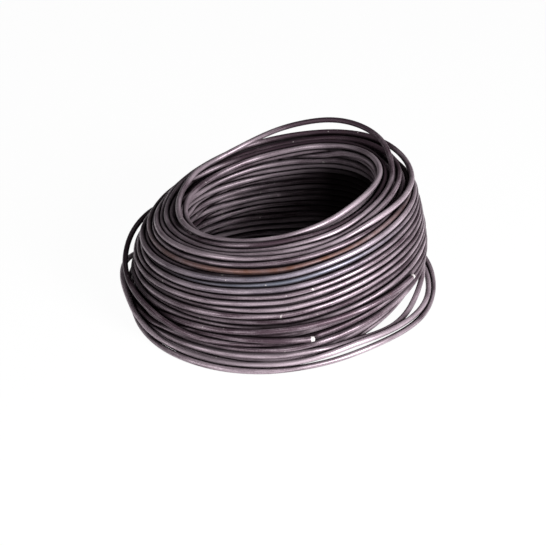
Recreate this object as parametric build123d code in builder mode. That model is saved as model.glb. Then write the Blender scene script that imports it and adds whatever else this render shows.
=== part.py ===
from build123d import *

import os
from math import atan, cos, degrees, hypot, radians, sin

# Coil of hot-rolled wire rod, laid down flat, after its turns have sprung a little loose.
# Millimetres, +Z up, origin on the floor below the middle of the coil.
# The coil is one length of rod, so it is one solid: a lofted bundle with its bore. Every row of
# rod shows as a ridge on the outer face, round the shoulder and underneath, and the bore is plain.
# The courses fan open, so the rim leans up towards +X. There the outer rods of the lowest courses
# have come up off the floor. The turns that stand clear of the bundle and the two cut ends are
# lengths of rod joined to it.

# The rod, and the spaces between its rows
rod_diameter = 5.5
course_gap = 0.9            # on the outer face, where the rows lie packed
shoulder_gap = 3.5          # round the shoulder, where they lie looser
base_gap = 8.0              # underneath, where they have sprung apart
groove_depth = 1.9          # from the crest of a rod down to the groove beside it
crest_land = 1.2            # flat left on a crest that lies on the floor
rod_flats = 5               # flats round a turn that stands clear

# The section of the bundle as it is at the front, through the centres of its outermost rods
base_radius = 150.0
belly_tuck = 3.5            # the outer face at half height is this much nearer the middle
belly_height = 50.0
shoulder_radius = 131.0     # where the outer face turns in towards the rim
shoulder_height = 90.0
rim_radius = 98.0           # the highest rod, round the mouth of the bore
rim_height = 112.0
bore_base_radius = 104.0    # innermost rod of the bottom course

# How the courses lie round the coil
side_squeeze = 5.0          # the outer face is this much nearer the middle on the two sides
left_slope = 0.186          # fall of the rim for each millimetre towards -X, level at the floor
low_lift = 0.205            # rise of a low course for each millimetre towards +X
rim_lift = 0.25             # rise of the rim towards +X
lift_ease = 20.0            # how gradually a course turns up from level
floor_ring = 112.0          # rods nearer the bore than this stay on the floor all the way round
lifted_ring = 140.0         # rods farther out than this come up off the floor with their course
lower_gap = 10.0            # how much farther the lowest outer rods come up, 100 mm towards +X
gap_height = 24.0           # courses from this height up lie as the lift alone puts them
course_points = 16          # points that each course is drawn through

half_rod = rod_diameter / 2
half_land = crest_land / 2
belly_radius = base_radius - belly_tuck
top_radius = (rim_radius + shoulder_radius) / 2

# The stretches of rod that stand clear of the bundle. Each is an arc of a ring: its radius, how
# far its centre is moved and towards which bearing, the height of its centre, how far it rises on
# its high side and at which bearing, then the bearing where it starts and how far round it runs.
# Both ends of a loose turn run back into the bundle. A cut end runs out of it and stops.
clear_rods = {
    "top_turn": (top_radius, 8.5, 34.0, 91.0, 70.0, 34.0, -55.0, 200.0),
    "upper_turn": (shoulder_radius, 6.0, 60.0, 88.0, 40.0, 34.0, -60.0, 230.0),
    "left_turn": (belly_radius, 5.2, 174.0, 36.0, 26.0, 113.0, 60.0, 210.0),
    "low_left_turn": (belly_radius, 8.7, 183.0, 29.0, 19.0, 102.0, 75.0, 195.0),
    "right_turn": (belly_radius, 8.8, -16.0, 21.0, 16.6, 74.5, -145.0, 230.0),
    "inner_right_turn": (belly_radius, 5.0, -25.0, 20.0, 2.0, 60.0, -110.0, 200.0),
    "low_end": (belly_radius - 3, 9.0, -76.0, 33.0, 6.0, 0.0, -185.0, 109.0),
    "high_end": (belly_radius - 2, 6.5, -45.0, 47.5, 19.5, 9.0, -155.0, 124.0),
}


def course_line(radius, height):
    """A course of the bundle, as a closed line at a radius and height that are those at the front."""
    outer = max(0, (radius - rim_radius) / (base_radius - rim_radius))
    squeeze = side_squeeze * outer * max(0, 1 - (height / shoulder_height) ** 4)
    free = min(1, max(0, (radius - floor_ring) / (lifted_ring - floor_ring)))
    low = max(0, 1 - height / gap_height)
    lean = left_slope * height / rim_height
    lift = low_lift + (rim_lift - low_lift) * height / rim_height
    course_lift = (lift - lean) * (1 - low * (1 - free)) + low * free * lower_gap / 100
    points = []
    for step in range(course_points):
        bearing = radians(360 * step / course_points)
        x = (radius - squeeze) * cos(bearing)
        risen = hypot(max(x, 0), lift_ease) - lift_ease
        points.append((x, radius * sin(bearing), height + lean * x + course_lift * risen))
    with BuildLine() as line:
        Spline(*points, periodic=True)
    return line.wire()


def rod_rows(path, gap):
    """Centres of rods spaced evenly along a line of the section, with both its ends."""
    count = round(path.length / (rod_diameter + gap))
    return [path.position_at(row / count) for row in range(count + 1)]


def ridge_points(rows):
    """Crest and groove points (radius, height) outside a run of rods."""
    points = []
    for rod, next_rod in zip(rows, rows[1:]):
        along = (next_rod - rod).normalized()
        away = Vector(along.Y, -along.X)
        points.append(rod + away * half_rod)
        points.append((rod + next_rod) * 0.5 + away * (half_rod - groove_depth))
    points.append(rows[-1] + away * half_rod)
    return points


def rod_arc(radius, reach, bearing, height, rise, high_side, start, run):
    """An arc of rod, moved off centre and tilted up towards its high side."""
    centre = (reach * cos(radians(bearing)), reach * sin(radians(bearing)), height)
    tilt = degrees(atan(rise / radius))
    flat = Plane(origin=centre).rotated((0, 0, start - high_side))
    ring = flat.rotated((0, -tilt, 0)).rotated((0, 0, high_side))
    with BuildPart() as turn:
        with BuildSketch(Plane(origin=centre, x_dir=ring.x_dir, z_dir=ring.y_dir)):
            with Locations((radius, 0)):
                RegularPolygon(half_rod, rod_flats, major_radius=False)
        revolve(axis=Axis(centre, ring.z_dir), revolution_arc=run)
    return turn.part


with BuildLine() as underside:
    Line((bore_base_radius, half_rod), (base_radius, half_rod))
with BuildLine() as outer_face:
    ThreePointArc((base_radius, half_rod), (belly_radius, belly_height), (shoulder_radius, shoulder_height))
with BuildLine() as shoulder:
    Line((shoulder_radius, shoulder_height), (rim_radius, rim_height))

base_rows = rod_rows(underside.edge(), base_gap)
face_rows = rod_rows(outer_face.edge(), course_gap)
shoulder_rows = rod_rows(shoulder.edge(), shoulder_gap)

# The crests underneath are sunk a little, and the floor then cuts them to their lands
land_depth = groove_depth * crest_land / (base_rows[1].X - base_rows[0].X)
outside = [(point.X, point.Y - land_depth) for point in ridge_points(base_rows)]
outside += [(point.X, point.Y) for point in ridge_points(face_rows[:-1] + shoulder_rows)]
outside += [(rim_radius, rim_height + half_rod)]

# The bore's taper is carried on past the rim's high side, and the loft starts and ends inside it
rim_top = rim_height + rim_lift * rim_radius + rod_diameter
bore_taper = (bore_base_radius - rim_radius) / (rim_height - half_rod)
bore_top_radius = rim_radius - half_rod - bore_taper * (rim_top - rim_height)
bottom_inside = bore_base_radius - 2 * rod_diameter
top_inside = bore_top_radius - rod_diameter
rim_tilt = degrees(atan((left_slope + rim_lift) / 2))
mouth = Plane(origin=(0, 0, rim_height + half_rod)).rotated((0, -rim_tilt, 0))

with BuildSketch(Plane.XY.offset(-land_depth)) as bottom_middle:
    Circle(bottom_inside)
with BuildSketch(mouth) as top_middle:
    Circle(top_inside)
courses = [bottom_middle.wire(), *(course_line(*point) for point in outside), top_middle.wire()]

with BuildPart() as coil:
    add(Solid.make_loft(courses, ruled=True))
    with BuildSketch(Plane.XZ):
        with BuildLine():
            Polyline(
                (0, -half_rod),
                (base_radius + rod_diameter, -half_rod),
                (base_radius + rod_diameter, 0),
                (bore_base_radius - half_land, 0),
                (bore_base_radius - half_rod, half_rod),
                (bore_top_radius, rim_top),
                (0, rim_top),
                close=True,
            )
        make_face()
    revolve(axis=Axis.Z, mode=Mode.SUBTRACT)
    add([rod_arc(*sizes) for sizes in clear_rods.values()])

coil.part.label = "coil"
os.makedirs("parts", exist_ok=True)
export_step(coil.part, "parts/coil.step")
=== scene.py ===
"""A loose coil of hot-rolled wire rod, dressed over its CAD model."""

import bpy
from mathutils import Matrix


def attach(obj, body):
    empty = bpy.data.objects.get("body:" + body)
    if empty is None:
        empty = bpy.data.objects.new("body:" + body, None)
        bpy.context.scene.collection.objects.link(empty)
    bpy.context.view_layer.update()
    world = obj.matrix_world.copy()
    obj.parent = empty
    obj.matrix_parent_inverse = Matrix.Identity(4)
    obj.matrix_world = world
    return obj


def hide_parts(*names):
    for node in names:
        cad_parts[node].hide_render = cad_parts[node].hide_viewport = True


bl_info = {
    "name": "Coil of Wire Rod",
    "version": (1, 0, 0),
    "blender": (4, 5, 0),
    "location": "View3D > Sidebar > Wire Rod",
    "description": "Lays the turns of a loose, fanned coil of wire rod over its CAD model",
    "category": "Add Mesh",
}

import bpy
import numpy as np
from mathutils import Vector

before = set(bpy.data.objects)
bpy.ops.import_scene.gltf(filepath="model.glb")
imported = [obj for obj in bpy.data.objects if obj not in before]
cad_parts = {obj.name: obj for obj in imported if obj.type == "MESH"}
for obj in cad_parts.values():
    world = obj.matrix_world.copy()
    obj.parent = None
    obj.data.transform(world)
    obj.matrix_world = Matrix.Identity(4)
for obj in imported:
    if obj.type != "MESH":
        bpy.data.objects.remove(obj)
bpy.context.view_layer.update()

MM = 0.001
TINY = 1e-6                  # a length in metres that counts as none
STEPS = 144                  # sections of the bundle round the coil
STEP_ANGLE = 360.0 / STEPS   # between two sections: 2.5 degrees
CROSSING = 90.0              # bearing on the far side where each turn steps over to the next place
FRONT = 270.0                # bearing of the front
LAY_SEED = 11                # starts the random numbers of the lay of the turns,
LOOK_SEED = 500              # and with a turn's number added, those of its look

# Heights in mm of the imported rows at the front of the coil
ROWS = (2.75, 9.0, 16.0, 23.5, 31.0, 37.6, 44.0, 49.7, 55.3, 61.2, 67.2, 72.7, 78.1, 83.4, 88.0)

# Rods of the crown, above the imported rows, in the order they were laid: radius and height in mm
CROWN = (
    (127.5, 92.3), (121.6, 97.0), (117.0, 94.2), (111.0, 94.0), (105.0, 94.0), (99.0, 94.0),
    (98.6, 100.2), (104.2, 100.2), (109.4, 99.8), (115.0, 101.0), (110.5, 105.0),
    (104.0, 108.6), (108.0, 106.0), (98.0, 112.0), (98.3, 106.2),
)

# First and last row of each piece. The crown rods count on as rows of their own.
LOWER_ROWS = (0, 4)
MIDDLE_ROWS = (5, 9)
UPPER_ROWS = (10, len(ROWS) - 1)
CROWN_ROWS = (len(ROWS), len(ROWS) + len(CROWN) - 1)

# Turns that have sprung away from their places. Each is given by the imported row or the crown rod
# whose place it left, then bearing, radius and height in mm at a few points along it. Bearings
# run on past 360. A turn whose points go all the way round and on past the far side keeps to
# them; any other eases back to its place at both ends.
SPRUNG_TURNS = {
    "outer_right_turn": (("row", 0), (
        (195, 146, 2.75), (210, 150.5, 2.75), (227, 156, 2.75), (241, 158, 2.75),
        (255, 158, 2.75), (263, 155, 2.75), (272, 151.5, 3), (280, 151.5, 5),
        (290, 152.5, 7.5), (300, 153.5, 12), (310, 154, 13.5), (320, 155, 13.5), (330, 156, 12.8),
        (340, 156, 13.2), (352, 155, 15.5), (365, 155, 18.5), (380, 153.5, 23),
        (400, 151, 26), (430, 149, 26),
    )),
    "inner_right_turn": (("row", 1), (
        (120, 147, 26), (140, 150, 27), (160, 154, 27), (180, 154, 27), (192, 152.5, 25),
        (201, 151.5, 21.5), (208, 151, 17.5), (214, 151, 13), (222, 151, 8.5), (230, 152, 6),
        (242, 152, 4), (257, 153, 5), (268, 152, 6), (278, 151, 9.5), (288, 151.5, 16),
        (297, 151.5, 21.5), (305, 151, 20), (314, 151, 19.3), (324, 151.8, 18), (333, 153, 17.5),
        (342, 153, 18), (352, 151.3, 18.5), (360, 150.5, 18.5), (370, 150.5, 18.5),
        (385, 149, 21), (410, 147, 24),
    )),
    "dark_right_turn": (("row", 2), (
        (280, 150, 15.5), (295, 148, 19.5), (305, 146, 19), (315, 146, 16.5), (322, 146, 17),
        (328, 145.5, 18.5), (333, 144.8, 22), (340, 143.5, 27), (348, 144, 30), (360, 144.5, 34),
        (380, 145, 36), (410, 146, 34),
    )),
    "high_left_turn": (("row", 4), (
        (60, 150, 38), (90, 150.5, 48), (113, 151.5, 55), (135, 151, 57), (150, 150.5, 56),
        (159, 150.5, 54), (166, 151.5, 51.5), (172, 152, 46), (180, 151.5, 40),
        (190, 150.5, 37), (200, 149.5, 35), (210, 149, 33), (220, 149.5, 32), (235, 150, 29),
        (242, 150, 27.5),
    )),
    "upper_turn": (("crown", 9), (
        (90, 120, 100), (125, 119, 92), (150, 118, 86), (180, 117, 83.5), (210, 116, 88),
        (240, 116, 94.5), (260, 116, 98), (280, 116, 103.4), (299, 117, 109.8),
        (312, 120.5, 116.5), (324, 123, 123), (345, 126.5, 124), (360, 129.5, 124.5),
        (370, 130.5, 128.5), (380, 129, 132.5), (390, 127.5, 134), (405, 126.5, 133.5),
        (422, 125, 128.5), (448, 123, 117), (468, 121, 108), (485, 119, 100), (505, 118, 91),
        (530, 117, 85), (560, 115, 84),
    )),
    "shoulder_turn": (("crown", 10), (
        (90, 121, 116), (110, 119, 106), (130, 116, 96), (150, 114, 88), (180, 112, 84),
        (210, 111.5, 89), (240, 111.5, 94.5), (260, 111, 100), (280, 111.5, 105.5),
        (300, 112.5, 111), (312, 113.5, 119), (326, 115, 125.5), (340, 116, 131),
        (360, 117.3, 133), (380, 117.5, 133), (405, 117.5, 130), (422, 117, 124.5),
        (448, 116, 111), (470, 115.5, 101.5), (487, 114, 95), (510, 111, 90), (540, 107, 88),
        (560, 106, 89),
    )),
    "second_rim_turn": (("crown", 11), (
        (90, 110, 111), (112, 108, 103), (132, 106, 98), (155, 104.5, 92.5), (180, 103.5, 90.5),
        (205, 103.5, 90.5), (230, 104.5, 95), (256, 105, 102.5), (281, 104.8, 110.5),
        (303, 105.5, 116.5), (325, 104.5, 124.5), (345, 103.5, 131), (360, 103.3, 133),
        (380, 103.5, 133), (400, 104, 131), (419, 104, 126), (448.6, 104, 111.7),
        (472, 104, 102.6), (491, 104, 98.5), (515, 103, 94), (540, 104, 91), (560, 106, 89),
    )),
    "top_turn": (("crown", 12), (
        (90, 104, 111.5), (110, 105, 102), (131, 107, 97), (155, 109, 90.5), (180, 109, 86),
        (210, 109, 89.5), (240, 108.5, 95), (260, 107.8, 101.5), (280, 108.5, 108),
        (300, 110, 113.5), (308, 109, 118), (326, 109.5, 126.5), (337, 110, 130.5),
        (360, 110.5, 135), (368, 110.5, 139), (376, 111.5, 144), (385, 112.5, 147),
        (395, 113, 148.5), (403, 113, 149.3), (413, 113, 148.7), (424, 113, 145.7),
        (436, 114, 138.5), (448.7, 114.5, 130.3), (470, 113.5, 111.7), (488, 112, 100.5),
        (505, 106, 97), (522, 99.5, 96.5), (540, 96.5, 96), (560, 97.5, 96),
    )),
    "rim_turn": (("crown", 13), (
        (90, 114.5, 129.5), (110, 113.5, 111.7), (128, 112, 100.5), (145, 106, 97),
        (162, 99.5, 96.5), (180, 96.5, 96), (200, 97.5, 96), (223, 98.8, 98),
        (245, 100, 102), (256, 100.5, 105.4), (270, 100, 110), (282, 98.8, 115),
        (300, 97.5, 122), (315, 96, 128.5), (330, 96.5, 132.5), (345, 98, 134.5),
        (360, 99.3, 135), (380, 99, 134.5), (400, 98.5, 130.5), (417, 98, 124.5),
        (435, 98, 116.5), (448.5, 98, 110), (473, 97.5, 100), (494, 95, 94.8),
        (520, 91.5, 93.5), (540, 90, 94), (560, 90.5, 93.5),
    )),
    "inner_rim_turn": (("crown", 14), (
        (90, 98, 109.5), (113, 97.5, 100), (134, 95, 94.8), (160, 91.5, 93.5), (180, 90, 94),
        (205, 91, 93), (223, 93, 94), (245, 95.5, 97), (262, 97, 101), (280, 96.5, 107),
        (300, 95.5, 114), (330, 95.5, 124), (360, 97.5, 129), (380, 97.5, 128.5),
        (410, 97.5, 121), (430, 101, 106), (450, 106, 98), (560, 106, 90),
    )),
}

# The two cut ends, each the last stretch of a rod that lies on a tilted circle. In mm and degrees:
# the circle's radius, how far its centre is moved and towards which bearing, the height of its
# centre, how far it rises on its high side and at which bearing, then the bearing where the rod
# comes out of the bundle and the bearing of its cut face.
CUT_ENDS = {
    "low_end": (143.5, 9.0, -76.0, 33.0, 6.0, 0.0, 190.0, 284.0),
    "high_end": (144.5, 6.5, -45.0, 47.5, 19.5, 9.0, 215.0, 329.0),
}
END_RUN = 200.0              # degrees over which a cut end follows its circle
HIDDEN_RUN = 60.0            # degrees of its rod that lie inside the bundle before it comes out
HIDDEN_PLACE = (138.0, 30.0) # radius and height in mm of that rod
HIDDEN_RISE = 0.1            # and its rise for each mm towards +X
SECTION_LENGTH = 6.3 * MM    # from one section of a cut end to the next
SHEARED_SHARE = 0.84         # of the rod's radius, left at the very edge of a cut face

# A turn steps over from the place before it somewhere in the first degrees past the crossing, and
# takes some more degrees for it. The two turns of the rim step over at the crossing itself. Each
# line runs on for some sections past a full round to cover that.
STEP_SPREAD = 45.0
STEP_WIDTH = 55.0
RIM_STEP_WIDTH = 25.0
RIM_TURNS = ("rim_turn", "inner_rim_turn")
TAIL = 44
WAVES = ((1, 0.7), (2, 0.6), (3, 0.35))    # how a turn wanders: waves to a round, and strength

# Where the rods lie away from the CAD model's places. A ramp is the value where a move starts and
# the width over which it grows to full.
NEST_SIDE = 180.0            # on the left the rows nest like stacked pipes,
NEST = 1.4                   # this many mm out and in by turns
DRAWN_IN = (                 # mm towards the middle, bearing, ramp in radius and ramp in height
    (4.5, 192.0, (98.0, 50.0), (25.0, 15.0)),      # the left face, under the turns sprung out
    (5.0, 335.0, (110.0, 30.0), (30.0, -30.0)),    # low, behind the turns that hang clear
)
FAR_SIDE = 75.0              # bearing towards which the upper rows fan open further
FAR_REACH = 100.0            # degrees to each side over which that dies away
OPENED = 5.0                 # mm that the rows open
OPENED_HEIGHT = (60.0, 40.0)
PROUD = 15.0                 # mm more for the outer rods of the crown
PROUD_RADIUS = (114.0, 12.0)
PROUD_HEIGHT = (80.0, 12.0)
PROUD_BEARING = (-54.0, 15.0)    # counted from the far side
LOWER_GAP_AT = 0.1           # metres towards +X at which CoilBundle.lower_gap is the rise
BELL = 6                     # sections to each side that smooth a line given by points
BELL_WIDTH = 6.0             # degrees

# How overlapping rods are pushed apart: distances in diameters, then for each set of rounds how
# many there are, how much of a section's stray its neighbours share, how often in each round,
# and how much of the stray is kept
ROD_CLEARANCE = 1.01
NEIGHBOURS = 2.6
PUSHED = 0.7
SETTLE_ROUNDS = ((135, 0.5, 3, 0.985), (25, 0.15, 1, 1.0))

# Painted shade between neighbouring rods: the distance in diameters at which it stops, and the
# cosine at which a side starts to face a neighbour, with the rise to full
SHADE_REACH = 2.1
SHADE_FACING = (0.3, 0.5)

# How the scale looks along each turn. Tone goes from thick dark scale to thin light scale, and is
# lowered as painted shade on the far side of the crown.
FIELDS = ("tone", "rust", "blue", "shelter")
LOOK_BLEND = 8               # sections to each side over which one turn's look eases into the next
PHASES = 6.3                 # range of random phases: a full turn in radians
TONE_SPREAD = 0.35           # between one turn and another
TONE_WAVES = ((1, 0.25), (3, 0.15))    # along a turn: waves to a round, and strength
FAR_SHADE_FROM = 100.0           # mm: turns past it in radius and height get painted shade on the far side, most of all at this bearing, where their tone is this much lower
FAR_SHADE_SIDE = 57.3            # most of all at this bearing,
FAR_SHADE = 1.8            # where their tone is this much lower
FACE_DEPTH = 1.0             # mm: a rod no deeper than this shows on the face
RUST_ALL = 0.08              # rust on every turn
RUST_RADIUS = 120.0          # mm: the rusted turns lie outside it,
RUST_BAND = (92.3, 2.5)      # at this height in mm, within this half width
RUST_SHARES = (0.2, 0.42)    # their rust at the back, and how much more at the front
BLUE_BAND = (84.0, 5.0)      # the same for the bluish turns
BLUE_SHARE = 0.6             # and their blueness at the front
# Painted shade deep in the bore, darkest below the high side of the rim
BORE_SHADE_RADIUS = 112.0          # mm: the rods of the bore lie within it
BORE_SHADE_RIM = (112.0, 18.0, 8.0)    # mm: mean height of the rim, its swing, and more towards +X
BORE_SHADE_DEPTH = (9.0, 22.0)     # ramp in mm below the rim
BORE_SHADE_SIDE = 35.0             # bearing where the bore is blackest
BORE_SHADE_SHARES = (0.25, 0.8)    # the same all round, and by the side

# Patterns of the finishes, in metres
PATCH = (0.04, 0.02)         # length and width of a patch of thicker or thinner scale
STREAK = (0.03, 0.0008)      # the same for a streak drawn along the rod
GRAIN = 0.0012               # grain of the scale, drawn coarse enough to show at this distance
RUST_PATCH = 0.012           # a patch of rust
FLAKES = 0.005               # pattern whose peaks are the small flakes rubbed bright
BLADE_LINES = (0.004, 0.004, 0.0004)    # spacing of the blade's lines along X, Y and Z

# The studio, in metres
FLOOR_HALF = 12.0
WHITE_SHARE = 0.97           # how much of the paper that the camera sees is plain white
PAINTED_SHADOW_SHARE = 0.35          # and how much of that is left inside the bore
PAINTED_SHADOW_RING = (0.085, 0.12)  # distances from the middle between which it comes back
LAMP_TARGET = (0.0, 0.0, 0.06)
LAMPS = (                    # name, its power in CoilStage, place and side
    ("key_lamp", "key_power", (0.96, -1.1, 0.6), 0.65),
    ("fill_lamp", "fill_power", (-1.2, -1.0, 0.6), 0.8),
    ("top_lamp", "top_power", (0.0, 0.2, 1.5), 1.0),
)
PICTURE = 546                # pixels across the picture
PIXEL = 1.01 * MM            # length that a pixel shows at the middle of the coil
PICTURE_SHIFT = (-4.5, 19.0) # pixels that the camera is shifted off the middle of the base


def metres(name, description, default, **limits):
    """A property that holds a length in metres."""
    return bpy.props.FloatProperty(
        name=name, description=description, default=default, unit="LENGTH", **limits)


def watts(name, description, default):
    """A property that holds the power of a lamp in watts."""
    return bpy.props.FloatProperty(
        name=name, description=description, default=default, unit="POWER")


def hex_colour(name, description, default):
    """A property that holds an sRGB colour as # and six hex digits."""
    return bpy.props.StringProperty(name=name, description=description, default=default)


class CoilBundle(bpy.types.PropertyGroup):
    """Sizes of the rod and of the bundle that its turns make"""

    rod: metres("Rod", "Diameter of the rod", 0.0055, min=0.002)
    place_pitch: metres("Place pitch", "Spacing of the turns across a row", 0.0063)
    base_radius: metres("Base radius", "Outermost rod of the bottom row", 0.150)
    belly_radius: metres("Belly radius", "Outer face at half height", 0.1465)
    belly_height: metres("Belly height", "Height of the belly radius", 0.050)
    shoulder_radius: metres(
        "Shoulder radius", "Where the outer face turns in towards the rim", 0.131)
    shoulder_height: metres("Shoulder height", "Height of the shoulder radius", 0.090)
    bore_base_radius: metres("Bore base radius", "Innermost rod of the bottom row", 0.104)
    rim_radius: metres("Rim radius", "Rod round the mouth of the bore", 0.098)
    rim_height: metres("Rim height", "Height of the rim at the front", 0.112)
    side_squeeze: metres(
        "Side squeeze", "How much nearer the middle the face is on the two sides", 0.005)
    left_slope: bpy.props.FloatProperty(
        name="Left slope", description="Fall of the rim for each unit of length towards -X",
        default=0.186)
    low_lift: bpy.props.FloatProperty(
        name="Low lift", description="Rise of a low course for each unit of length towards +X",
        default=0.205)
    rim_lift: bpy.props.FloatProperty(
        name="Rim lift", description="Rise of the rim for each unit of length towards +X",
        default=0.25)
    lift_ease: metres("Lift ease", "How gradually a course turns up from level", 0.020)
    floor_ring: metres("Floor ring", "Rods nearer the bore than this stay on the floor", 0.112)
    lifted_ring: metres(
        "Lifted ring", "Rods farther out than this come up with their course", 0.140)
    lower_gap: metres(
        "Lower gap", "Further rise of the lowest outer rods, 100 mm towards +X", 0.010)
    gap_height: metres("Gap height", "Courses from this height up rise by the lift alone", 0.024)
    wander: metres("Wander", "How far a turn strays from its place", 0.0009)
    sheared_edge: metres(
        "Sheared edge", "How far the blade has rounded the edge of a cut end", 0.003)
    sides: bpy.props.IntProperty(
        name="Sides", description="Faces round the rod", default=12, min=6, max=32)


class CoilFinish(bpy.types.PropertyGroup):
    """Colours of the rod's finishes"""

    scale_dark: hex_colour("Dark scale", "Mill scale where it is thick, sRGB hex", "#3c2c35")
    # Near black of the painted shade between touching rods and deep in the bore
    painted_shade_colour: hex_colour(
        "Unrubbed scale", "Mill scale between rods that touch, sRGB hex", "#0b0608")
    scale_light: hex_colour("Light scale", "Mill scale where it is thin, sRGB hex", "#a3949d")
    blue_scale: hex_colour(
        "Blue scale", "Bluish scale of the turns below the shoulder, sRGB hex", "#6a7482")
    rust: hex_colour("Rust", "Brown rust on a few turns, sRGB hex", "#644439")
    worn: hex_colour("Worn spots", "Spots rubbed through the scale, sRGB hex", "#b8b0b0")
    cut_steel: hex_colour("Cut steel", "Bare steel of a sheared end, sRGB hex", "#d8d6d4")


class CoilStage(bpy.types.PropertyGroup):
    """Floor, lamps and camera"""

    floor_colour: hex_colour("Floor", "Colour of the studio floor, sRGB hex", "#f4f4f4")
    key_power: watts("Key lamp", "Power of the large soft lamp on the right", 68.0)
    fill_power: watts("Fill lamp", "Power of the soft lamp on the left", 10.0)
    top_power: watts("Top lamp", "Power of the soft lamp overhead", 0.6)
    ambient: bpy.props.FloatProperty(
        name="Ambient", description="Strength of the grey world light", default=0.07)
    camera_elevation: bpy.props.FloatProperty(
        name="Camera elevation", description="Angle of the view above level",
        default=np.radians(29.0), subtype="ANGLE", unit="ROTATION")
    camera_distance: metres("Camera distance", "From the middle of the coil's base", 1.45)


def colour(text):
    """An sRGB hex colour as linear red, green, blue and alpha."""
    levels = np.array([int(text[i:i + 2], 16) for i in (1, 3, 5)]) / 255.0
    linear = np.where(levels <= 0.04045, levels / 12.92, ((levels + 0.055) / 1.055) ** 2.4)
    return (*linear, 1.0)


def add_node(tree, kind, place, settings=None, **inputs):
    """Adds a node, sets its properties and fills its inputs with values or links.

    An input is given by its name, with _ for a space, or by _ and its number.
    """
    node = tree.nodes.new(kind)
    node.location = place
    for name, value in (settings or {}).items():
        setattr(node, name, value)
    for name, value in inputs.items():
        socket = node.inputs[int(name[1:]) if name[1:].isdigit() else name.replace("_", " ")]
        if isinstance(value, bpy.types.NodeSocket):
            tree.links.new(value, socket)
        else:
            socket.default_value = value
    return node


def bearings():
    """Bearing of each section in degrees, from the crossing once round, anticlockwise."""
    return CROSSING + np.arange(STEPS) * STEP_ANGLE


def from_bearing(around, middle):
    """How far each bearing lies from a middle one, from -180 to 180 degrees."""
    return (around - middle + 180) % 360 - 180


def facing_side(around, side):
    """1 at the bearing of a side and 0 from a quarter turn away: the cosine, never negative."""
    return np.clip(np.cos(np.radians(around - side)), 0, 1)


def ramp(value, start, width):
    """0 at a start, then rising evenly to 1 over a width."""
    return np.clip((value - start) / width, 0, 1)


def smooth_step(part):
    """0 up to 0 and 1 from 1 on: between them, three times the square less twice the cube."""
    part = np.clip(part, 0, 1)
    return part * part * (3 - 2 * part)


def band(value, middle, width):
    """1 at a middle value, falling off to both sides as a bell of some width."""
    return np.exp(-((value - middle) / width) ** 2)


def face_radius(size, height):
    """Radius of the outer face: the parabola through the base, belly and shoulder."""
    low = size.rod / 2
    heights = np.array([low, size.belly_height, size.shoulder_height])
    radii = np.array([size.base_radius, size.belly_radius, size.shoulder_radius])
    return np.polyval(np.polyfit(heights, radii, 2), height)


def bore_radius(size, height):
    """Radius of the bore's rods: a straight taper from the base to the rim."""
    part = (height - size.rod / 2) / (size.rim_height - size.rod / 2)
    return size.bore_base_radius + (size.rim_radius - size.bore_base_radius) * part


def section_places(size):
    """Places of the turns in the front section, in the order they were laid.

    Each row runs straight across from bore to face or back again by turns, so the rod steps
    only to a neighbouring place. Gives radius, height, row and distance from the outer face.
    """
    radius, height, row, depth = [], [], [], []
    for number, level in enumerate(np.array(ROWS) * MM):
        inner, outer = bore_radius(size, level), face_radius(size, level)
        count = int(round((outer - inner) / size.place_pitch)) + 1
        across = np.linspace(inner, outer, count)
        across = across if number % 2 == 0 else across[::-1]
        radius.append(across)
        height.append(np.full(count, level))
        row.append(np.full(count, number))
        depth.append(outer - across)
    crown = np.array(CROWN) * MM
    radius.append(crown[:, 0])
    height.append(crown[:, 1])
    row.append(len(ROWS) + np.arange(len(crown)))
    depth.append(np.zeros(len(crown)))
    return tuple(np.concatenate(part) for part in (radius, height, row, depth))


def fanned(size, radius, height, around):
    """Radius and height of rods in the fanned bundle, at each bearing, as the CAD model has it.

    The outer face is drawn in on the left and right sides by the squared cosine of the bearing.
    On the left a course leans in proportion to its height. To the right it turns up by the lift,
    which is larger for the outer rods of the lowest courses and nothing for their inner rods.
    """
    across = np.cos(np.radians(around))
    outer = np.clip((radius - size.rim_radius) / (size.base_radius - size.rim_radius), 0, None)
    squeeze = size.side_squeeze * outer * np.clip(1 - (height / size.shoulder_height) ** 4, 0, 1)
    free = np.clip((radius - size.floor_ring) / (size.lifted_ring - size.floor_ring), 0, 1)
    low = np.clip(1 - height / size.gap_height, 0, 1)
    lean = size.left_slope * height / size.rim_height
    lift = size.low_lift + (size.rim_lift - size.low_lift) * height / size.rim_height
    lift = (lift - lean) * (1 - low * (1 - free)) + low * free * size.lower_gap / LOWER_GAP_AT
    radius = radius - squeeze * across ** 2
    across = radius * across
    risen = np.hypot(np.clip(across, 0, None), size.lift_ease) - size.lift_ease
    return np.stack([radius, height + lean * across + lift * risen], -1)


def circle_line(values, around):
    """Radius and height, at each bearing, of a circle that is moved off centre and tilted.

    A point of the circle is its centre plus the radius along the high side's tilted direction
    times a cosine, and along the level direction across it times a sine.
    """
    radius, reach, toward, height, rise, high = values
    turn = np.radians(np.arange(0, 360, 0.5))
    tilt = np.arctan2(rise, radius)
    high = np.radians(high)
    along, over = radius * np.cos(turn) * np.cos(tilt), radius * np.sin(turn)
    x = reach * np.cos(np.radians(toward)) + along * np.cos(high) - over * np.sin(high)
    y = reach * np.sin(np.radians(toward)) + along * np.sin(high) + over * np.cos(high)
    z = height + radius * np.cos(turn) * np.sin(tilt)
    seen = np.degrees(np.arctan2(y, x))
    order = np.argsort(seen)
    line = [np.interp(around, seen[order], part[order], period=360) for part in (np.hypot(x, y), z)]
    return np.stack(line, -1) * MM


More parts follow.
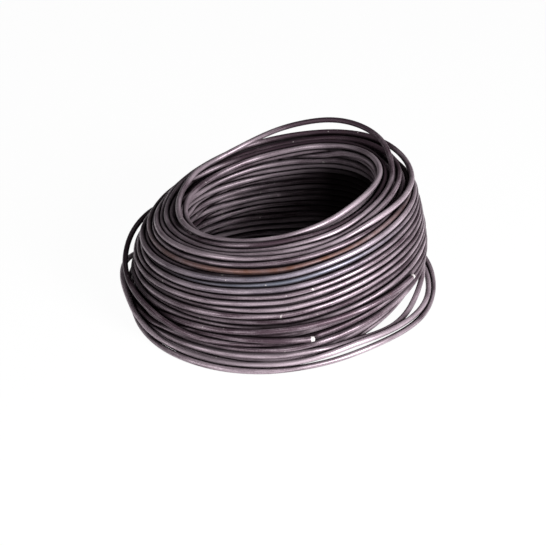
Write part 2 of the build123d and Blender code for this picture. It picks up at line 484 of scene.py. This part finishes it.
def free_line(points, around):
    """Radius and height at each bearing, eased through a few given points.

    Straight runs between the points are smoothed by a bell-shaped average over about 12 degrees.
    """
    points = np.array(points, dtype=float)
    period = 360 if points[-1, 0] - points[0, 0] < 360 else None
    spread = np.arange(-BELL, BELL + 1) * STEP_ANGLE
    bell = np.exp(-0.5 * (spread / BELL_WIDTH) ** 2)
    bell /= bell.sum()
    near = around[:, None] + spread
    line = [np.interp(near, points[:, 0], part, period=period) @ bell for part in points[:, 1:].T]
    return np.stack(line, -1) * MM


def window(around, start, run, ease=25.0):
    """1 over a run of bearings, easing to 0 at both its ends as a smooth step."""
    from_middle = np.abs(from_bearing(around, start + run / 2))
    return smooth_step((run / 2 + ease / 2 - from_middle) / ease)[:, None]


def settle(size, home, there):
    """Pushes overlapping rods apart, section by section, while each keeps near its own line.

    Two rods nearer than a diameter move apart, each by a share of half the overlap. What a rod
    has moved is averaged along it, because rod is stiff, and a little is taken back each time.
    """
    turns = home.shape[0]
    kept_apart = size.rod * ROD_CLEARANCE
    first, second = np.triu_indices(turns, 1)
    both = there[first] & there[second]
    apart = np.linalg.norm(home[first] - home[second], axis=2)
    near = np.where(both, apart, 1.0).min(axis=1) < NEIGHBOURS * size.rod
    first, second, both = first[near], second[near], both[near]
    pairs = np.arange(len(first))
    spread = np.zeros((turns, len(first)))
    spread[first, pairs] = 1.0
    spread[second, pairs] = -1.0
    lines = home.copy()
    for rounds, shared, passes, kept in SETTLE_ROUNDS:
        for _ in range(rounds):
            stray = (lines - home).reshape(-1, 2)
            for _ in range(passes):
                before = np.concatenate([stray[:1], stray[:-1]])
                after = np.concatenate([stray[1:], stray[-1:]])
                stray = stray * (1 - shared) + (before + after) * shared / 2
            lines = home + stray.reshape(lines.shape) * kept
            gap = lines[first] - lines[second]
            length = np.maximum(np.linalg.norm(gap, axis=2), TINY)
            push = np.where(both, np.clip(kept_apart - length, 0, None) / 2, 0.0) / length
            moved = spread @ (gap * push[:, :, None]).reshape(len(first), -1)
            lines = lines + moved.reshape(lines.shape) * PUSHED
            lines[:, :, 1] = np.maximum(lines[:, :, 1], size.rod / 2)
    return lines


def shade_between_rods(size, lines, there):
    """Painted shade where each side of each rod faces a neighbour: 1 where they touch, 0 in the open.

    A side faces a neighbour by the cosine of the angle between its normal and the way to the
    neighbour, from nothing at 0.3 to full at 0.8, and less with the width of the gap.
    """
    reach = SHADE_REACH * size.rod
    first, second = np.triu_indices(len(lines), 1)
    gap = lines[second] - lines[first]
    length = np.linalg.norm(gap, axis=2)
    both = there[first] & there[second] & (length < reach)
    near = both.any(axis=1)
    first, second, gap, length, both = first[near], second[near], gap[near], length[near], both[near]
    close = both * np.clip((reach - length) / size.rod, 0, 1)
    toward = gap / np.maximum(length, TINY)[:, :, None]
    shelter = np.zeros((*lines.shape[:2], size.sides))
    for side, angle in enumerate(np.arange(size.sides) * 2 * np.pi / size.sides):
        facing = toward[:, :, 0] * np.cos(angle) + toward[:, :, 1] * np.sin(angle)
        one_side = np.zeros(lines.shape[:2])
        np.maximum.at(one_side, first, close * ramp(facing, *SHADE_FACING))
        np.maximum.at(one_side, second, close * ramp(-facing, *SHADE_FACING))
        shelter[:, :, side] = one_side
    return shelter


def shifted_places(size, radius, height, row, around):
    """Where the rods lie at each bearing: the CAD model's places, and how far they are off them."""
    places = fanned(size, radius[:, None], height[:, None], around[None, :])
    radius, height = radius / MM, height / MM
    out_or_in = np.where(row % 2 == 0, 1.0, -1.0)
    places[:, :, 0] += out_or_in[:, None] * facing_side(around, NEST_SIDE) * NEST * MM
    for most, side, in_radius, in_height in DRAWN_IN:
        share = ramp(radius, *in_radius) * ramp(height, *in_height)
        places[:, :, 0] -= most * MM * share[:, None] * facing_side(around, side) ** 2
    from_far = from_bearing(around, FAR_SIDE)
    far_side = facing_side(from_far * 90 / FAR_REACH, 0) ** 2
    opened = OPENED * ramp(height, *OPENED_HEIGHT)
    proud = PROUD * ramp(radius, *PROUD_RADIUS) * ramp(height, *PROUD_HEIGHT)
    opened = opened[:, None] + proud[:, None] * ramp(from_far, *PROUD_BEARING)
    places[:, :, 1] += opened * MM * far_side
    return places


def lay_turns(size):
    """Every turn and cut end as radius and height at each section, with its place and painted shade.
    """
    rng = np.random.default_rng(LAY_SEED)
    around = bearings()
    radius, height, row, depth = section_places(size)
    turns = len(radius)
    longer = CROSSING + np.arange(STEPS + TAIL) * STEP_ANGLE
    waves = np.zeros((turns, len(longer), 2))
    for order, part in WAVES:
        phase = rng.uniform(0, 2 * np.pi, (turns, 1, 2))
        strength = rng.normal(0, part, (turns, 1, 2))
        waves += strength * np.cos(order * np.radians(longer)[None, :, None] + phase)
    places = shifted_places(size, radius, height, row, longer) + waves * size.wander

    outer = {int(number): int(np.flatnonzero((row == number) & (depth < TINY))[0])
             for number in np.unique(row)}
    sprung = {}
    for name, ((kind, number), points) in SPRUNG_TURNS.items():
        index = outer[number] if kind == "row" else outer[len(ROWS) + number]
        run = points[-1][0] - points[0][0]
        part = window(longer, points[0][0], run) if run < 360 else 1.0
        places[index] = places[index] * (1 - part) + free_line(points, longer) * part
        sprung[name] = index

    # Each turn steps over from the place before it, just past the crossing
    step_at = CROSSING + rng.uniform(0, STEP_SPREAD, turns)
    step_over = np.full(turns, STEP_WIDTH)
    for name in RIM_TURNS:
        step_at[sprung[name]], step_over[sprung[name]] = CROSSING, RIM_STEP_WIDTH
    step = smooth_step((around[None, :] - step_at[:, None]) / step_over[:, None])[:, :, None]
    before = places[:, :STEPS].copy()
    before[1:, :TAIL] = places[:-1, STEPS:]
    home = before * (1 - step) + places[:, :STEPS] * step
    there = np.ones((turns, STEPS), dtype=bool)

    for *values, start, stop in CUT_ENDS.values():
        line = circle_line(values, around)
        hidden = np.array(HIDDEN_PLACE) * MM + np.zeros_like(line)
        hidden[:, 1] += HIDDEN_RISE * hidden[:, 0] * np.cos(np.radians(around))
        part = window(around, start, END_RUN)
        home = np.concatenate([home, (hidden * (1 - part) + line * part)[None]])
        shown = (around > start - HIDDEN_RUN) & (around <= stop)
        there = np.concatenate([there, shown[None]])

    lines = settle(size, home, there)
    return {"lines": lines, "there": there, "shelter": shade_between_rods(size, lines, there), "row": row,
            "radius": radius, "height": height, "depth": depth, "turns": turns,
            "ends": range(turns, len(home))}


laid = {}


def turns_laid():
    """The coil's turns, laid once and kept for every piece."""
    if not laid:
        laid.update(lay_turns(bpy.context.scene.coil_bundle))
    return laid


def swept_rod(size, line, bearing, sheared):
    """Points, quads, their UVs and the caps of a rod swept along a line, as arrays.

    A ring of points stands at each place of the line: outward times a cosine plus upward times a
    sine, where upward is square to the line and outward is square to both. A sheared rod's last
    ring is a little smaller, where the blade has rounded the edge. After the rings come the
    points of the two caps, each a middle and a ring. U and V run along and round the rod.
    """
    angle = np.radians(bearing)
    centre = np.stack([line[:, 0] * np.cos(angle), line[:, 0] * np.sin(angle), line[:, 1]], 1)
    along = np.gradient(centre, axis=0)
    along /= np.linalg.norm(along, axis=1, keepdims=True)
    outward = np.stack([np.cos(angle), np.sin(angle), 0 * angle], 1)
    outward -= along * (outward * along).sum(1, keepdims=True)
    outward /= np.linalg.norm(outward, axis=1, keepdims=True)
    upward = np.cross(outward, along)
    count, sides = len(centre), size.sides
    part = (np.arange(sides) * 2 * np.pi / sides)[:, None]
    ring = (outward[:, None] * np.cos(part) + upward[:, None] * np.sin(part)) * size.rod / 2
    if sheared:
        ring[-1] *= SHEARED_SHARE
    rings = (centre[:, None] + ring).reshape(-1, 3)
    points = np.concatenate([rings, centre[:1], rings[:sides], centre[-1:], rings[-sides:]])

    i, j = np.meshgrid(np.arange(count - 1), np.arange(sides), indexing="ij")
    k = (j + 1) % sides
    corners = [i * sides + j, (i + 1) * sides + j, (i + 1) * sides + k, i * sides + k]
    steps = np.linalg.norm(np.diff(centre, axis=0), axis=1)
    run = np.concatenate([[0], np.cumsum(steps)])
    u = np.stack([run[i], run[i + 1], run[i + 1], run[i]], -1)
    v = np.stack([j, j, j + 1, j + 1], -1) * np.pi * size.rod / sides
    wheel = np.arange(sides)
    first = len(rings) + 0 * wheel
    last = first + 1 + sides
    caps = [np.stack([first, first + 1 + wheel, first + 1 + (wheel + 1) % sides], 1),
            np.stack([last, last + 1 + (wheel + 1) % sides, last + 1 + wheel], 1)]
    return (points, np.stack(corners, -1).reshape(-1, 4), np.stack([u, v], -1).reshape(-1, 2),
            np.concatenate(caps))


def rod_piece(name, lines, around, looks, painted_shades, sheared=False):
    """One piece of one or more swept rods, with the look of each section and side on its points."""
    size = bpy.context.scene.coil_bundle
    sides = size.sides
    vertices, quads, uvs, caps, values = [], [], [], [], []
    start = 0
    for line, bearing, look, shelter in zip(lines, around, looks, painted_shades):
        points, rod_quads, rod_uvs, rod_caps = swept_rod(size, line, bearing, sheared)
        look = np.concatenate([np.repeat(look, sides, axis=0), shelter.reshape(-1, 1)], 1)
        values += [look, look[:1], look[:sides], look[-1:], look[-sides:]]
        vertices.append(points)
        quads.append(rod_quads + start)
        caps.append(rod_caps + start)
        uvs.append(rod_uvs)
        start += len(points)
    quads, caps, values = (np.concatenate(part) for part in (quads, caps, values))
    mesh = bpy.data.meshes.new(name)
    mesh.from_pydata(np.concatenate(vertices), [], quads.tolist() + caps.tolist())
    # The caps have no pattern along the rod, so their corners stay at 0
    uvs.append(np.zeros((caps.size, 2)))
    layer = mesh.uv_layers.new(name="along_rod")
    layer.uv.foreach_set("vector", np.concatenate(uvs).astype(np.float32).ravel())
    for column, title in enumerate(FIELDS):
        field = mesh.attributes.new(title, "FLOAT", "POINT")
        field.data.foreach_set("value", values[:, column].astype(np.float32))
    smooth = np.arange(len(quads) + len(caps)) < len(quads)
    mesh.polygons.foreach_set("use_smooth", smooth)
    mesh.materials.append(hot_rolled_mill_scale())
    mesh.validate()
    piece = bpy.data.objects.new(name, mesh)
    bpy.context.collection.objects.link(piece)
    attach(piece, "root")
    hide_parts("coil")
    return piece


def look_of(coil, turn):
    """Tone, rust and blueness of one turn at each section."""
    rng = np.random.default_rng(LOOK_SEED + turn)
    around = bearings()
    tone = rng.normal(0.0, TONE_SPREAD)
    for order, strength in TONE_WAVES:
        tone = tone + strength * np.cos(order * np.radians(around) + rng.uniform(0, PHASES))
    rust, blue = RUST_ALL + 0 * around, 0 * around
    if turn < coil["turns"]:
        radius, height = coil["radius"][turn] / MM, coil["height"][turn] / MM
        # Painted shade: turns of the crown are darker towards the far side
        if min(radius, height) > FAR_SHADE_FROM:
            tone = tone - FAR_SHADE * facing_side(around, FAR_SHADE_SIDE) ** 2
        front = facing_side(around, FRONT)
        on_face = coil["depth"][turn] < FACE_DEPTH * MM
        rusted = on_face * (radius > RUST_RADIUS) * band(height, *RUST_BAND)
        rust = rust + rusted * (RUST_SHARES[0] + RUST_SHARES[1] * front)
        blue = blue + on_face * band(height, *BLUE_BAND) * front ** 4 * BLUE_SHARE
    return np.stack([tone, np.clip(rust, 0, 1), np.clip(blue, 0, 1)], 1)


def painted_bore_shade(coil, turn):
    """Painted shade on one turn at each section, where it lies down in the bore.

    It is darkest below the high side of the rim.
    """
    if coil["radius"][turn] / MM > BORE_SHADE_RADIUS:
        return np.zeros(STEPS)
    around = bearings()
    mean, swing, more = BORE_SHADE_RIM
    rim = mean + swing * np.cos(np.radians(around)) + more * facing_side(around, 0)
    below = ramp(rim - coil["lines"][turn, :, 1] / MM, *BORE_SHADE_DEPTH)
    all_round, by_side = BORE_SHADE_SHARES
    return below * np.clip(all_round + by_side * np.cos(np.radians(around - BORE_SHADE_SIDE)), 0, 1)


def packed_piece(name, first_row, last_row):
    """One mesh of the turns of some rows, laid end to end as one rod."""
    coil = turns_laid()
    chosen = np.flatnonzero((coil["row"] >= first_row) & (coil["row"] <= last_row))
    a, b = chosen[0], chosen[-1] + 1
    line = coil["lines"][a:b].reshape(-1, 2)
    bearing = CROSSING + np.arange(len(line)) * STEP_ANGLE
    look = np.concatenate([look_of(coil, turn) for turn in range(a, min(b + 1, coil["turns"]))])
    padded = np.concatenate([look[:1]] * LOOK_BLEND + [look] + [look[-1:]] * LOOK_BLEND)
    shifted = [padded[shift:shift + len(look)] for shift in range(2 * LOOK_BLEND + 1)]
    look = np.mean(shifted, axis=0)[:len(line)]
    # The painted shade of the bore joins the painted shade between rods
    bore_shade = np.concatenate([painted_bore_shade(coil, turn) for turn in range(a, b)])
    shelter = coil["shelter"][a:b]
    shelter = np.maximum(shelter.reshape(-1, shelter.shape[2]), bore_shade[:, None])
    if b < coil["turns"]:
        # The rod runs on to the first section of the next piece
        line = np.concatenate([line, coil["lines"][b, :1]])
        bearing = np.append(bearing, bearing[-1] + STEP_ANGLE)
        look = np.concatenate([look, look[-1:]])
        shelter = np.concatenate([shelter, coil["shelter"][b, :1]])
    rod_piece(name, [line], [bearing], [look], [shelter])


def hot_rolled_mill_scale():
    """Hot-rolled steel under its mill scale.

    Scale is a thin grey-black oxide. It gives a dull, soft sheen along the rod, a purple-brown
    cast where it is thick, bluish where it is thin, and it flakes in small pale spots. The shade
    between touching rods and deep in the bore is painted into its colour as near black.
    """
    name = "hot_rolled_mill_scale"
    if name in bpy.data.materials:
        return bpy.data.materials[name]
    finish = bpy.context.scene.coil_finish
    material = bpy.data.materials.new(name)
    material.use_nodes = True
    tree = material.node_tree
    shader = tree.nodes["Principled BSDF"]
    where = add_node(tree, "ShaderNodeTexCoord", (-1500, 0))
    lie = add_node(tree, "ShaderNodeUVMap", (-1700, -400), {"uv_map": "along_rod"})
    tone, rust, blue, shelter = (
        add_node(tree, "ShaderNodeAttribute", (-1500, 400 + 200 * at), {"attribute_name": title})
        for at, title in enumerate(FIELDS))
    # Patches of thicker and thinner scale, about 40 mm long on each rod
    lay = add_node(tree, "ShaderNodeMapping", (-1450, 200), None,
                   Vector=lie.outputs["UV"], Scale=(1 / PATCH[0], 1 / PATCH[1], 1.0))
    patch = add_node(tree, "ShaderNodeTexNoise", (-1250, 200), {"noise_dimensions": "2D"},
                     Vector=lay.outputs["Vector"], Scale=1.0, Detail=3.0)
    # Streaks drawn along the rod, about 30 mm long and 0.8 mm wide
    stretch = add_node(tree, "ShaderNodeMapping", (-1250, -400), None,
                       Vector=lie.outputs["UV"], Scale=(1 / STREAK[0], 1 / STREAK[1], 1.0))
    streak = add_node(tree, "ShaderNodeTexNoise", (-1000, -400), {"noise_dimensions": "2D"},
                      Vector=stretch.outputs["Vector"], Scale=1.0, Detail=2.0)
    # Grain of the scale, drawn 1.2 mm across so that it shows at this distance
    grain = add_node(tree, "ShaderNodeTexNoise", (-1250, -100), None,
                     Vector=where.outputs["Object"], Scale=1 / GRAIN, Detail=2.0)
    both = add_node(tree, "ShaderNodeMath", (-800, 200), {"operation": "ADD"},
                    _0=patch.outputs["Fac"], _1=streak.outputs["Fac"])
    toned = add_node(tree, "ShaderNodeMath", (-650, 200), {"operation": "MULTIPLY_ADD"},
                     _0=tone.outputs["Fac"], _1=0.45, _2=both.outputs["Value"])
    grained = add_node(tree, "ShaderNodeMath", (-500, 200), {"operation": "MULTIPLY_ADD"},
                       _0=grain.outputs["Fac"], _1=0.5, _2=toned.outputs["Value"])
    level = add_node(tree, "ShaderNodeMapRange", (-350, 200), None,
                     Value=grained.outputs["Value"], From_Min=0.85, From_Max=1.65)
    scale = add_node(tree, "ShaderNodeMix", (-200, 200), {"data_type": "RGBA"},
                     Factor=level.outputs["Result"],
                     _6=colour(finish.scale_dark), _7=colour(finish.scale_light))
    blued = add_node(tree, "ShaderNodeMix", (0, 300), {"data_type": "RGBA"},
                     Factor=blue.outputs["Fac"], _6=scale.outputs[2], _7=colour(finish.blue_scale))
    # Rust follows its own patches, about 12 mm across
    rust_patch = add_node(tree, "ShaderNodeTexNoise", (-1000, 700), None,
                          Vector=where.outputs["Object"], Scale=1 / RUST_PATCH, Detail=4.0)
    rust_level = add_node(tree, "ShaderNodeMath", (-800, 700), {"operation": "MULTIPLY_ADD"},
                          _0=rust.outputs["Fac"], _1=1.2, _2=rust_patch.outputs["Fac"])
    rust_mask = add_node(tree, "ShaderNodeMapRange", (-600, 700), None,
                         Value=rust_level.outputs["Value"], From_Min=0.75, From_Max=1.5)
    rusted = add_node(tree, "ShaderNodeMix", (200, 300), {"data_type": "RGBA"},
                      Factor=rust_mask.outputs["Result"], _6=blued.outputs[2], _7=colour(finish.rust))
    # Small flakes rubbed bright, only the peaks of a 5 mm pattern, so they are few and far apart
    flake = add_node(tree, "ShaderNodeTexNoise", (-600, -300), None,
                     Vector=where.outputs["Object"], Scale=1 / FLAKES, Detail=1.0)
    flake_mask = add_node(tree, "ShaderNodeMapRange", (-400, -300), None,
                          Value=flake.outputs["Fac"], From_Min=0.755, From_Max=0.80)
    worn = add_node(tree, "ShaderNodeMix", (400, 300), {"data_type": "RGBA"},
                    Factor=flake_mask.outputs["Result"], _6=rusted.outputs[2], _7=colour(finish.worn))
    # Painted shade: where a rod lies against its neighbour, and deep in the bore, the colour goes near
    # black
    painted_shade_mix = add_node(tree, "ShaderNodeMix", (600, 300), {"data_type": "RGBA"},
                        Factor=shelter.outputs["Fac"], _6=worn.outputs[2],
                        _7=colour(finish.painted_shade_colour))
    # Thin scale has been rubbed smoother than thick scale, and the rods are roughest where shade is
    # painted
    rubbed_rough = add_node(tree, "ShaderNodeMapRange", (0, 0), None,
                            Value=grained.outputs["Value"], From_Min=0.8, From_Max=1.7,
                            To_Min=0.48, To_Max=0.36)
    rough = add_node(tree, "ShaderNodeMath", (200, 0), {"operation": "MULTIPLY_ADD"},
                     _0=shelter.outputs["Fac"], _1=0.35, _2=rubbed_rough.outputs["Result"])
    bump = add_node(tree, "ShaderNodeBump", (200, -300), None,
                    Height=grain.outputs["Fac"], Strength=0.25, Distance=0.0002)
    # Where shade is painted the rods are also made to hardly shine
    shine_dimmed_by_shade = add_node(tree, "ShaderNodeMapRange", (200, 500), None,
                     Value=shelter.outputs["Fac"], To_Min=0.5, To_Max=0.03)
    tree.links.new(painted_shade_mix.outputs[2], shader.inputs["Base Color"])
    tree.links.new(rough.outputs["Value"], shader.inputs["Roughness"])
    tree.links.new(shine_dimmed_by_shade.outputs["Result"], shader.inputs["Specular IOR Level"])
    tree.links.new(bump.outputs["Normal"], shader.inputs["Normal"])
    shader.inputs["Metallic"].default_value = 0.5
    return material


def sheared_steel():
    """Bare steel of a sheared end: bright, with the fine lines that the blade drew across it."""
    name = "sheared_steel"
    if name in bpy.data.materials:
        return bpy.data.materials[name]
    finish = bpy.context.scene.coil_finish
    material = bpy.data.materials.new(name)
    material.use_nodes = True
    tree = material.node_tree
    shader = tree.nodes["Principled BSDF"]
    where = add_node(tree, "ShaderNodeTexCoord", (-900, 0))
    # Blade lines about 0.4 mm apart
    stretch = add_node(tree, "ShaderNodeMapping", (-700, 0), None,
                       Vector=where.outputs["Object"], Scale=[1 / spacing for spacing in BLADE_LINES])
    lines = add_node(tree, "ShaderNodeTexNoise", (-500, 0), None,
                     Vector=stretch.outputs["Vector"], Scale=1.0, Detail=2.0)
    shade = add_node(tree, "ShaderNodeMix", (-250, 100), {"data_type": "RGBA"},
                     Factor=lines.outputs["Fac"],
                     _6=colour(finish.worn), _7=colour(finish.cut_steel))
    bump = add_node(tree, "ShaderNodeBump", (-250, -200), None,
                    Height=lines.outputs["Fac"], Strength=0.3, Distance=0.0001)
    tree.links.new(shade.outputs[2], shader.inputs["Base Color"])
    tree.links.new(bump.outputs["Normal"], shader.inputs["Normal"])
    shader.inputs["Metallic"].default_value = 0.5
    shader.inputs["Roughness"].default_value = 0.45
    return material


class COIL_OT_lower_turns(bpy.types.Operator):
    """Lay the lower rows of turns, with the turns sprung out low on the right"""

    bl_idname = "coil.lower_turns"
    bl_label = "Lower Turns"

    def execute(self, context):
        packed_piece("lower_turns", *LOWER_ROWS)
        return {"FINISHED"}


class COIL_OT_middle_turns(bpy.types.Operator):
    """Lay the middle rows of turns, with the turns sprung out on the left"""

    bl_idname = "coil.middle_turns"
    bl_label = "Middle Turns"

    def execute(self, context):
        packed_piece("middle_turns", *MIDDLE_ROWS)
        return {"FINISHED"}


class COIL_OT_upper_turns(bpy.types.Operator):
    """Lay the upper rows of turns, up to the shoulder"""

    bl_idname = "coil.upper_turns"
    bl_label = "Upper Turns"

    def execute(self, context):
        packed_piece("upper_turns", *UPPER_ROWS)
        return {"FINISHED"}


class COIL_OT_crown_turns(bpy.types.Operator):
    """Lay the turns of the shoulder and rim, with the two sprung up over the top"""

    bl_idname = "coil.crown_turns"
    bl_label = "Crown Turns"

    def execute(self, context):
        packed_piece("crown_turns", *CROWN_ROWS)
        return {"FINISHED"}


class COIL_OT_cut_ends(bpy.types.Operator):
    """Lay the last stretch of each rod, which comes out of the bundle and stops at a cut face"""

    bl_idname = "coil.cut_ends"
    bl_label = "Cut Ends"

    def execute(self, context):
        size = context.scene.coil_bundle
        coil = turns_laid()
        rods = []
        for index in coil["ends"]:
            shown = np.flatnonzero(coil["there"][index])
            last = len(shown) - 1
            # One more section just before the last, where the sheared edge starts
            at = np.append(np.arange(last), [last - size.sheared_edge / SECTION_LENGTH, last])
            parts = (coil["lines"][index], bearings()[:, None], look_of(coil, index),
                     coil["shelter"][index])
            rods.append([
                np.stack([np.interp(at, np.arange(last + 1), column) for column in part[shown].T], 1)
                for part in parts])
        lines, around, looks, painted_shades = zip(*rods)
        around = [bearing[:, 0] for bearing in around]
        piece = rod_piece("cut_ends", lines, around, looks, painted_shades, sheared=True)
        piece.data.materials.append(sheared_steel())
        # The caps, and the last ring of faces of each rod, are sheared steel
        bright = [np.arange(len(line) - 1) == len(line) - 2 for line in lines]
        bright = np.repeat(np.concatenate(bright), size.sides)
        bright = np.append(bright, np.ones(len(piece.data.polygons) - len(bright), dtype=bool))
        piece.data.polygons.foreach_set("material_index", bright.astype(np.int32))
        return {"FINISHED"}


def aim(thing, place, target):
    """Puts a lamp or camera at a place with its -Z axis towards a target and +Y up."""
    thing.location = place
    direction = Vector(target) - Vector(place)
    thing.rotation_euler = direction.to_track_quat("-Z", "Y").to_euler()


def soft_lamp(name, place, side, power):
    """A square area lamp that faces the coil."""
    data = bpy.data.lights.new(name, "AREA")
    data.shape = "SQUARE"
    data.size, data.energy = side, power
    lamp = bpy.data.objects.new(name, data)
    bpy.context.collection.objects.link(lamp)
    aim(lamp, place, LAMP_TARGET)


class COIL_OT_studio(bpy.types.Operator):
    """Set the pale floor, the soft lamps and the camera"""

    bl_idname = "coil.studio"
    bl_label = "Studio"

    def execute(self, context):
        stage = context.scene.coil_stage
        scene = context.scene
        mesh = bpy.data.meshes.new("floor")
        corners = np.array([(-1, -1, 0), (1, -1, 0), (1, 1, 0), (-1, 1, 0)]) * FLOOR_HALF
        mesh.from_pydata(corners, [], [(0, 1, 2, 3)])
        floor = bpy.data.objects.new("floor", mesh)
        context.collection.objects.link(floor)
        material = bpy.data.materials.new("matt_white_paper")
        material.use_nodes = True
        tree = material.node_tree
        tree.nodes.clear()
        rays = add_node(tree, "ShaderNodeLightPath", (-600, 200))
        camera_or_glossy = add_node(tree, "ShaderNodeMath", (-400, 200), {"operation": "MAXIMUM"},
                                    _0=rays.outputs["Is Camera Ray"], _1=rays.outputs["Is Glossy Ray"])
        seen = add_node(tree, "ShaderNodeMath", (-200, 200), {"operation": "MAXIMUM"},
                        _0=camera_or_glossy.outputs["Value"], _1=rays.outputs["Is Transmission Ray"])
        share = add_node(tree, "ShaderNodeMath", (0, 200), {"operation": "MULTIPLY"},
                         _0=seen.outputs["Value"], _1=WHITE_SHARE)
        # A painted shadow of the coil: inside the bore less of the white is shown, to the camera and
        # in reflections
        where = add_node(tree, "ShaderNodeTexCoord", (-800, 500))
        reach = add_node(tree, "ShaderNodeVectorMath", (-600, 500), {"operation": "LENGTH"},
                         _0=where.outputs["Object"])
        outside = add_node(tree, "ShaderNodeMapRange", (-400, 500), None,
                           Value=reach.outputs["Value"], From_Min=PAINTED_SHADOW_RING[0],
                           From_Max=PAINTED_SHADOW_RING[1], To_Min=PAINTED_SHADOW_SHARE)
        open_share = add_node(tree, "ShaderNodeMath", (100, 400), {"operation": "MULTIPLY"},
                              _0=share.outputs["Value"], _1=outside.outputs["Result"])
        paper = add_node(tree, "ShaderNodeBsdfDiffuse", (0, 0), None, Color=colour(stage.floor_colour))
        white = add_node(tree, "ShaderNodeEmission", (0, -150), None, Color=(1, 1, 1, 1), Strength=1.0)
        mix = add_node(tree, "ShaderNodeMixShader", (200, 0), None,
                       _0=open_share.outputs["Value"], _1=paper.outputs["BSDF"],
                       _2=white.outputs["Emission"])
        add_node(tree, "ShaderNodeOutputMaterial", (400, 0), None, Surface=mix.outputs["Shader"])
        mesh.materials.append(material)

        world = bpy.data.worlds.new("studio")
        scene.world = world
        world.use_nodes = True
        tree = world.node_tree
        tree.nodes.clear()
        rays = add_node(tree, "ShaderNodeLightPath", (-600, 200))
        strength = add_node(tree, "ShaderNodeMapRange", (-300, 200), None,
                            Value=rays.outputs["Is Camera Ray"], To_Min=stage.ambient, To_Max=1.0)
        sky = add_node(tree, "ShaderNodeBackground", (0, 0), None,
                       Color=(1, 1, 1, 1), Strength=strength.outputs["Result"])
        add_node(tree, "ShaderNodeOutputWorld", (200, 0), None, Surface=sky.outputs["Background"])

        for name, power, place, side in LAMPS:
            soft_lamp(name, place, side, getattr(stage, power))

        data = bpy.data.cameras.new("camera")
        data.sensor_width = 36.0
        data.lens = data.sensor_width * stage.camera_distance / (PIXEL * PICTURE)
        data.shift_x, data.shift_y = PICTURE_SHIFT[0] / PICTURE, PICTURE_SHIFT[1] / PICTURE
        camera = bpy.data.objects.new("camera", data)
        context.collection.objects.link(camera)
        up, away = np.sin(stage.camera_elevation), np.cos(stage.camera_elevation)
        aim(camera, (0, -stage.camera_distance * away, stage.camera_distance * up), (0, 0, 0))
        scene.camera = camera
        scene.view_settings.view_transform = "Standard"
        return {"FINISHED"}


class COIL_PT_panel(bpy.types.Panel):
    """Lists the coil's sizes, colours and pieces"""

    bl_idname = "COIL_PT_panel"
    bl_label = "Coil of Wire Rod"
    bl_space_type = "VIEW_3D"
    bl_region_type = "UI"
    bl_category = "Wire Rod"

    def draw(self, context):
        for group in (context.scene.coil_bundle, context.scene.coil_finish, context.scene.coil_stage):
            box = self.layout.box()
            for name in group.__annotations__:
                box.prop(group, name)
        for operator in OPERATORS:
            self.layout.operator(operator.bl_idname)


OPERATORS = (
    COIL_OT_lower_turns,
    COIL_OT_middle_turns,
    COIL_OT_upper_turns,
    COIL_OT_crown_turns,
    COIL_OT_cut_ends,
    COIL_OT_studio,
)
GROUPS = (("coil_bundle", CoilBundle), ("coil_finish", CoilFinish), ("coil_stage", CoilStage))


def register():
    for name, group in GROUPS:
        bpy.utils.register_class(group)
        setattr(bpy.types.Scene, name, bpy.props.PointerProperty(type=group))
    for operator in (*OPERATORS, COIL_PT_panel):
        bpy.utils.register_class(operator)


def unregister():
    for operator in (COIL_PT_panel, *reversed(OPERATORS)):
        bpy.utils.unregister_class(operator)
    for name, group in reversed(GROUPS):
        delattr(bpy.types.Scene, name)
        bpy.utils.unregister_class(group)


def main():
    register()
    bpy.ops.coil.studio()
    bpy.ops.coil.lower_turns()
    bpy.ops.coil.middle_turns()
    bpy.ops.coil.upper_turns()
    bpy.ops.coil.crown_turns()
    bpy.ops.coil.cut_ends()


if __name__ == "__main__":
    main()
